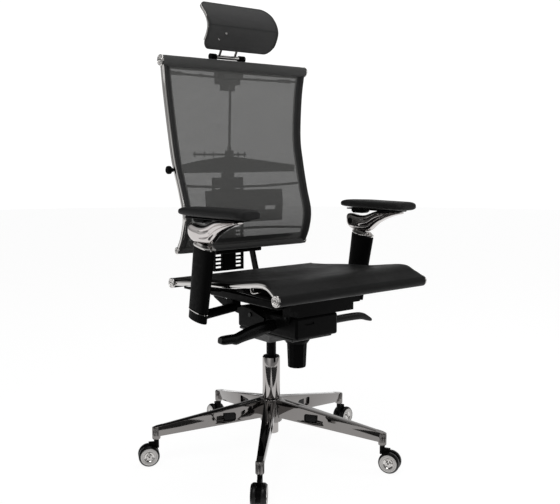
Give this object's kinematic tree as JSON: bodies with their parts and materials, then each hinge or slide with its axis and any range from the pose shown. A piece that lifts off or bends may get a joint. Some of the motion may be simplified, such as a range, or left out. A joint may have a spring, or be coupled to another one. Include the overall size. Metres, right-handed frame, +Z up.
{
  "type": "swivel office chair",
  "caption": "Swivel office chair: star base on casters, gas lift, sling seat, see-through mesh back, adjustable arms and headrest.",
  "frame": {"origin": "on the floor, under the middle of the chair's outline", "axes": "+Z up, the chair faces -Y, and +X is the sitter's left"},
  "size_m": [0.7391, 0.7411, 1.3112],
  "materials": {
    "polished_base": "polished cast aluminium, chromed",
    "polished_cast": "polished cast aluminium, chromed",
    "black_cast": "cast aluminium under a satin black coat",
    "chrome_trim": "polished chrome",
    "black_steel": "satin black powder coat",
    "black_plastic": "fine moulded texture",
    "grey_plastic": "dark grey moulded plastic",
    "caster_tyre": "smooth black tyre",
    "seat_leather": "fine-grained black leather, satin",
    "pad_leather": "soft black skin, satin",
    "back_mesh": "see-through woven mesh",
    "roll_fabric": "black coated fabric",
    "headrest_mesh": "dense woven mesh with leather hem"
  },
  "bodies": {
    "base": {"star_base": "polished_base", "column_tube": "chrome_trim", "piston_rod": "chrome_trim", "column_foot_clip": "black_steel"},
    "gas_lift": {"gas_cylinder": "black_steel"},
    "mechanism": {"mechanism_housing": "black_cast", "mechanism_cover": "grey_plastic", "seat_pivot_shaft": "chrome_trim", "recline_pivot_shaft": "chrome_trim"},
    "lift_lever": {"lift_lever": "black_plastic"},
    "tilt_lever": {"tilt_lever": "black_plastic"},
    "tension_knob": {"tension_knob": "black_plastic"},
    "seat": {"seat_sling": "seat_leather", "seat_front_tube": "black_steel", "seat_rear_tube": "black_steel", "seat_plate": "black_cast", "seat_rail_left": "chrome_trim", "seat_rail_right": "chrome_trim", "arm_foot_left": "black_plastic", "arm_foot_right": "black_plastic"},
    "arm_left": {"arm_post_left": "black_plastic", "arm_bracket_left": "polished_cast"},
    "arm_right": {"arm_post_right": "black_plastic", "arm_bracket_right": "polished_cast"},
    "arm_pad_left": {"arm_pad_plate_left": "black_plastic", "arm_pad_left": "pad_leather"},
    "arm_pad_right": {"arm_pad_plate_right": "black_plastic", "arm_pad_right": "pad_leather"},
    "recline": {"recline_arms": "black_steel", "back_carrier": "black_plastic"},
    "backrest": {"back_rack": "black_plastic", "back_tube_left": "chrome_trim", "back_tube_right": "chrome_trim", "back_top_roll": "roll_fabric", "back_bottom_roll": "roll_fabric", "back_mesh": "back_mesh", "back_wing": "black_plastic", "top_bracket": "black_plastic", "tie_rod_left": "black_steel", "tie_rod_right": "black_steel", "centre_rod": "chrome_trim", "lumbar_band_upper": "black_steel", "lumbar_band_lower": "black_steel"},
    "lumbar": {"lumbar_plate": "black_plastic"},
    "lumbar_knob": {"lumbar_knob": "black_plastic"},
    "headrest_carrier": {"headrest_carrier": "black_plastic"},
    "headrest": {"headrest_hinge_bar": "chrome_trim", "headrest_shell": "black_plastic", "headrest_pad": "headrest_mesh"},
    "caster_1_fork": {"caster_1_housing": "black_plastic"},
    "caster_1_wheel_pair": {"caster_1_wheels": "caster_tyre"},
    "caster_2_fork": {"caster_2_housing": "black_plastic"},
    "caster_2_wheel_pair": {"caster_2_wheels": "caster_tyre"},
    "caster_3_fork": {"caster_3_housing": "black_plastic"},
    "caster_3_wheel_pair": {"caster_3_wheels": "caster_tyre"},
    "caster_4_fork": {"caster_4_housing": "black_plastic"},
    "caster_4_wheel_pair": {"caster_4_wheels": "caster_tyre"},
    "caster_5_fork": {"caster_5_housing": "black_plastic"},
    "caster_5_wheel_pair": {"caster_5_wheels": "caster_tyre"}
  },
  "joints": [
    {"name": "seat_lift", "type": "slide", "parent": "base", "child": "gas_lift", "axis": [0, 0, 1], "range_m": [-0.04, 0.06]},
    {"name": "seat_swivel", "type": "hinge", "parent": "gas_lift", "child": "mechanism", "pos_m": [-0.014, -0.015, 0.348], "axis": [0, 0, 1], "continuous": true},
    {"name": "back_recline", "type": "hinge", "parent": "mechanism", "child": "recline", "pos_m": [-0.014, -0.035, 0.432], "axis": [-1, 0, 0], "range_deg": [0, 20], "stiffness_Nm_per_rad": 60, "springref_deg": -28.65},
    {"name": "seat_tilt", "type": "hinge", "parent": "mechanism", "child": "seat", "pos_m": [-0.014, -0.18, 0.44], "axis": [-1, 0, 0], "range_deg": [0, 6]},
    {"name": "lift_lever_pull", "type": "hinge", "parent": "mechanism", "child": "lift_lever", "pos_m": [-0.101, -0.128, 0.418], "axis": [0, 1, 0], "range_deg": [0, 8], "stiffness_Nm_per_rad": 0.5, "springref_deg": -17.19},
    {"name": "tilt_lever_pull", "type": "hinge", "parent": "mechanism", "child": "tilt_lever", "pos_m": [0.073, -0.165, 0.413], "axis": [0, -1, 0], "range_deg": [0, 8]},
    {"name": "tension_knob_turn", "type": "hinge", "parent": "mechanism", "child": "tension_knob", "pos_m": [-0.014, -0.13, 0.386], "axis": [0, 0, 1], "range_deg": [-360, 720]},
    {"name": "back_height", "type": "slide", "parent": "recline", "child": "backrest", "axis": [0, 0, 1], "range_m": [0, 0.05]},
    {"name": "lumbar_knob_turn", "type": "hinge", "parent": "backrest", "child": "lumbar_knob", "pos_m": [-0.2443, 0.1193, 0.834], "axis": [-1, 0, 0], "range_deg": [-187.83, 82.18]},
    {"name": "lumbar_depth", "type": "slide", "parent": "backrest", "child": "lumbar", "axis": [0, -1, 0], "range_m": [-0.008, 0.0035]},
    {"name": "headrest_height", "type": "slide", "parent": "backrest", "child": "headrest_carrier", "axis": [0, 0, 1], "range_m": [0, 0.035]},
    {"name": "headrest_tilt", "type": "hinge", "parent": "headrest_carrier", "child": "headrest", "pos_m": [-0.014, 0.193, 1.1625], "axis": [1, 0, 0], "range_deg": [-30, 8]},
    {"name": "arm_height_left", "type": "slide", "parent": "seat", "child": "arm_left", "axis": [0, -0.1779, 0.984], "range_m": [0, 0.06]},
    {"name": "arm_pad_swivel_left", "type": "hinge", "parent": "arm_left", "child": "arm_pad_left", "pos_m": [0.268, -0.18, 0.7188], "axis": [0, 0, 1], "range_deg": [-20, 20]},
    {"name": "arm_height_right", "type": "slide", "parent": "seat", "child": "arm_right", "axis": [0, -0.1779, 0.984], "range_m": [0, 0.06]},
    {"name": "arm_pad_swivel_right", "type": "hinge", "parent": "arm_right", "child": "arm_pad_right", "pos_m": [-0.296, -0.18, 0.7188], "axis": [0, 0, 1], "range_deg": [-20, 20]},
    {"name": "caster_1_swivel", "type": "hinge", "parent": "base", "child": "caster_1_fork", "pos_m": [-0.24519, -0.25744, 0.0755], "axis": [0, 0, 1], "continuous": true},
    {"name": "caster_1_spin", "type": "hinge", "parent": "caster_1_fork", "child": "caster_1_wheel_pair", "pos_m": [-0.26038, -0.27336, 0.03], "axis": [0.7237, -0.6901, 0], "continuous": true},
    {"name": "caster_2_swivel", "type": "hinge", "parent": "base", "child": "caster_2_fork", "pos_m": [0.14513, -0.30979, 0.0755], "axis": [0, 0, 1], "continuous": true},
    {"name": "caster_2_spin", "type": "hinge", "parent": "caster_2_fork", "child": "caster_2_wheel_pair", "pos_m": [0.15558, -0.32915, 0.03], "axis": [0.88, 0.475, 0], "continuous": true},
    {"name": "caster_3_swivel", "type": "hinge", "parent": "base", "child": "caster_3_fork", "pos_m": [0.31554, 0.04524, 0.0755], "axis": [0, 0, 1], "continuous": true},
    {"name": "caster_3_spin", "type": "hinge", "parent": "caster_3_fork", "child": "caster_3_wheel_pair", "pos_m": [0.33718, 0.0492, 0.03], "axis": [-0.1798, 0.9837, 0], "continuous": true},
    {"name": "caster_4_swivel", "type": "hinge", "parent": "base", "child": "caster_4_fork", "pos_m": [0.03054, 0.31703, 0.0755], "axis": [0, 0, 1], "continuous": true},
    {"name": "caster_4_spin", "type": "hinge", "parent": "caster_4_fork", "child": "caster_4_wheel_pair", "pos_m": [0.03346, 0.33883, 0.03], "axis": [-0.9911, 0.1329, 0], "continuous": true},
    {"name": "caster_5_swivel", "type": "hinge", "parent": "base", "child": "caster_5_fork", "pos_m": [-0.31601, 0.12996, 0.0755], "axis": [0, 0, 1], "continuous": true},
    {"name": "caster_5_spin", "type": "hinge", "parent": "caster_5_fork", "child": "caster_5_wheel_pair", "pos_m": [-0.33585, 0.13948, 0.03], "axis": [-0.4327, -0.9015, 0], "continuous": true}
  ],
  "couplings": [
    {"joint": "seat_tilt", "follows": "back_recline", "ratio": 0.3},
    {"joint": "lumbar_knob_turn", "follows": "lumbar_depth", "rad_per_m": 409.77}
  ]
}
